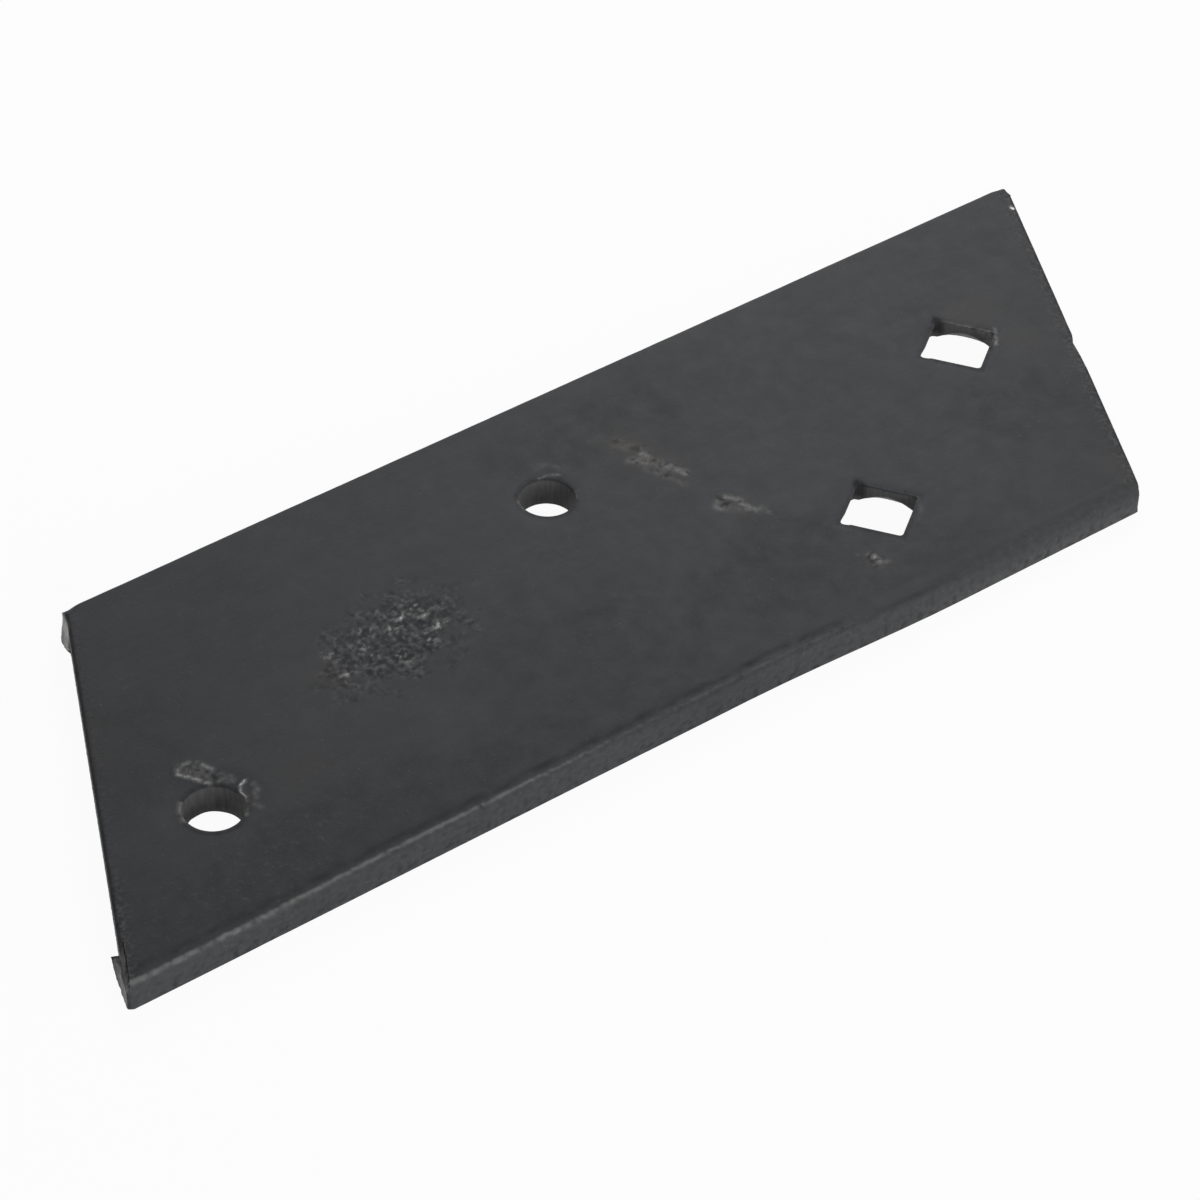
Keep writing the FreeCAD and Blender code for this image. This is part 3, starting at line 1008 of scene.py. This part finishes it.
print("the chip is full at its middle:", round(chip_share(CHIP), 2))

# %% [markdown]
# Each point now gets its whole move: the upper face sinks, the lower one lifts a little in places,
# and then come the holes, the edges and the ends. What the material must know about a point is kept
# with it as a number between 0 and 1.

# %% Move every point
END_ZONE = 4.5  # how far in from an end its wear reaches
FAR_ZONE = 53.0  # the far edge's wear lies beyond this
MARKS = ("bare_metal", "brown_stain", "rough_spot", "dark_rim", "worn_edge", "rolled_edge",
         "punched_wall", "thick_scale", "freckled", "sheared_rim")
layers = {name: plate.verts.layers.float.new(name) for name in MARKS}


def wear_rear_end(co, marks):
    deepen(marks, "bare_metal", near_corner_torn(co), far_corner_torn(co))
    outside = behind_rear(co)
    if outside <= -END_ZONE:
        return
    run = (co - rear_near).dot(along_end)
    # painted light: the rear end's face is painted lighter
    face = smooth(-0.8, -0.2, outside) * smooth(7.9, 7, co.z)
    deepen(marks, "rolled_edge", 0.75 * face)
    # painted shade at the far tip of the near flap
    flap_tip = hump(run - NEAR_LIP + 0.8, 1.6) * smooth(0.1, 0.5, outside)
    deepen(marks, "dark_rim", 0.9 * flap_tip)
    # the painted shade on the rear end's top edge fades out towards the near corner
    edge_shade = smooth(5, 22, run)
    mottled = 0.3 + 0.7 * smooth(42, 18, run)
    shear_end(co, outside, rear_outward, 71, edge_shade, mottled, marks)


for vertex in plate.verts:
    marks = dict.fromkeys(MARKS, 0)
    co = vertex.co.copy()
    marks["thick_scale"] = strongest(co.xy, thick_scale)
    marks["freckled"] = strongest(co.xy, freckled)
    lift = 0.02 + 0.03 * speckle(co, 30, 41) + 0.03 * speckle(co, 5, 42)
    sink = sink_upper(co, marks)
    lower = smooth(2, 0.05, co.z)
    drag_square(co, marks)
    burr_rear_bore(co)
    wear_near_edge(co, marks)
    co.z += lower * max(0.0, lift) - sink
    if co.y > FAR_ZONE:
        rough = 0.05 + 0.05 * ripple(co.x, co.z, 5, 61) + 0.03 * ripple(co.x, co.z, 1.5, 62)
        co.y -= smooth(53.5, 55.9, co.y) * max(0.0, rough)
    if behind_rear(co) > -FAR_SAG:
        wear_rear_end(co, marks)
    if beyond_share(co) > -END_ZONE:
        shear_end(co, beyond_share(co), share_outward, 81, 1, 1, marks)
    wear_share_corner(co)
    vertex.co = [min(highest[axis], max(lowest[axis], co[axis])) for axis in range(3)]
    for name, layer in layers.items():
        vertex[layer] = min(1.0, max(0.0, marks[name]))
print("points moved:", len(plate.verts))

# %% [markdown]
# The near rear corner has lost its foot, the lowest and outermost bit of it. All that lies beyond a
# slanted plane is pressed back onto the plane.

# %% Knock off the foot of the near rear corner
FOOT_WAY = Vector((-0.4, -0.55, -0.75)).normalized()  # the way that the foot points
FOOT_CUT = 0.45  # how much of it is gone

foot = max(vertex.co.dot(FOOT_WAY) for vertex in plate.verts)
for vertex in plate.verts:
    vertex.co -= FOOT_WAY * max(0.0, vertex.co.dot(FOOT_WAY) - foot + FOOT_CUT)
print("foot cut back by", FOOT_CUT, "mm")

# %% Bring the plate back to metres
bmesh.ops.scale(plate, vec=(MM,) * 3, verts=plate.verts)
landside_mesh = bpy.data.meshes.new("landside")
plate.to_mesh(landside_mesh)
plate.free()
landside = add_object("landside", landside_mesh)
print("landside has", len(landside_mesh.polygons), "triangles")

# %% [markdown]
# The finish is mill scale under a thin dull coat: nearly black, a little blue, and never quite even.
# A single dark colour would look like plastic. Here three sizes of noise shift the colour, long faint
# streaks follow the rolling direction, and the same noise changes the roughness, so that the light
# breaks up on it. Each row of the table lays one more colour over those before it, by its mask. The
# last is grey steel, where the mesh says that metal is bare.

# %% Mill scale with bare steel and stains
scale_steel = bpy.data.materials.new("mill_scale")
start = empty_tree(scale_steel)
place = start.node("ShaderNodeTexCoord", {}, {}, "Object")
in_mm = start.node("ShaderNodeVectorMath", {"operation": "SCALE"}, {0: place, "Scale": 1 / MM})


def grain(size, detail=2.0, stretch=(1.0, 1.0, 1.0), roughness=0.5):
    """Noise around 0.5 with features of about this size in millimetres."""
    spread = start.node("ShaderNodeVectorMath", {"operation": "MULTIPLY"},
                        {0: in_mm, 1: tuple(1 / (size * s) for s in stretch)})
    return start.node("ShaderNodeTexNoise", {},
                      {"Vector": spread, "Scale": 1.0, "Detail": detail, "Roughness": roughness})


def painted(name):
    return start.node("ShaderNodeAttribute", {"attribute_name": name}, {}, "Fac")


(bare, brown, pitted, rim, arris_highlight,
 edge_light, wall, thick, freckle, sheared) = (painted(name) for name in MARKS)
clouds = grain(34.0, 3.0)
mottle = grain(5.0, 4.0, roughness=0.6)
speck = grain(0.55, 2.0)
grit = grain(1.5, 3.0, roughness=0.65)
blotch = grain(2.0, 3.0, roughness=0.6)
crumbs = grain(1.1, 3.0, roughness=0.65)
streaks = grain(1.2, 3.0, stretch=(14.0, 1.0, 1.0))
fleck = grain(0.8, 1.0).step(0.70, 0.78)
punch_lines = grain(0.7, 2.0, stretch=(1.0, 1.0, 9.0))

tone = clouds * 0.40 + mottle * 0.35 + streaks * 0.25
skin = tone.step(0.30, 0.70).tint((0.0140, 0.0150, 0.0173, 1), (0.0250, 0.0263, 0.0295, 1))
punched = punch_lines.step(0.20, 0.80).tint((0.072, 0.073, 0.074, 1), (0.110, 0.110, 0.108, 1))
steel_grey = speck.step(0.25, 0.75).tint((0.16, 0.16, 0.158, 1), (0.36, 0.36, 0.35, 1))
paints = [
    (thick * (0.55 + mottle * 0.9), (0.0102, 0.0111, 0.0131, 1)),  # heavy scale
    (speck.step(0.35, 0.75) * 0.35, (0.040, 0.041, 0.043, 1)),  # pale specks
    (freckle * blotch.step(0.56, 0.70) * 0.60, (0.046, 0.047, 0.049, 1)),  # pale freckles
    (freckle * blotch.step(0.44, 0.32) * 0.55, (0.009, 0.009, 0.010, 1)),  # dark freckles
    (sheared * crumbs.step(0.52, 0.62) * 0.80, (0.058, 0.059, 0.060, 1)),  # pale crumbs
    (sheared * crumbs.step(0.51, 0.40) * 0.95, (0.005, 0.005, 0.006, 1)),  # dark crumbs
    (edge_light * (0.05 + grit * 1.6), (0.056, 0.057, 0.058, 1)),  # painted light on the near edge and the rear end
    (fleck * 0.35, (0.11, 0.11, 0.11, 1)),  # single flecks
    (arris_highlight, (0.125, 0.126, 0.128, 1)),  # painted highlight along the near arris
    (wall, punched),
    (rim * 0.85, (0.007, 0.007, 0.008, 1)),  # dirt and shade
    (brown * mottle.step(0.30, 0.62) * 0.50, (0.058, 0.052, 0.043, 1)),  # browned skin
    (bare, steel_grey),
]
for mask, paint in paints:
    skin = mask.tint(skin, paint)

metallic = (bare.step(0.40, 0.95) * 0.8).at_least(wall * 0.5)
roughness = 0.50 + mottle * 0.16 + speck * 0.08 + rim * 0.30 - bare * 0.12
height = (speck * 0.020 + mottle * 0.05 + streaks * 0.015 + grit * edge_light * 0.06
          + grain(0.9, 3.0) * pitted * 0.14)
bump = start.node("ShaderNodeBump", {}, {"Height": height * MM, "Distance": 1.0, "Strength": 1.0})
coat = start.node("ShaderNodeBsdfPrincipled", {},
                  {"Base Color": skin, "Roughness": roughness, "Metallic": metallic,
                   "Normal": bump, "IOR": 1.45, "Specular IOR Level": 0.225})
start.node("ShaderNodeOutputMaterial", {}, {"Surface": coat})
landside_mesh.materials.clear()
landside_mesh.materials.append(scale_steel)
print("mill scale has", len(scale_steel.node_tree.nodes), "nodes")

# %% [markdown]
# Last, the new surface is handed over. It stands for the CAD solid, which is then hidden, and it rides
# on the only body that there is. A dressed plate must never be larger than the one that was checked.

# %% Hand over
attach(landside, "root")
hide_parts("landside_plate")
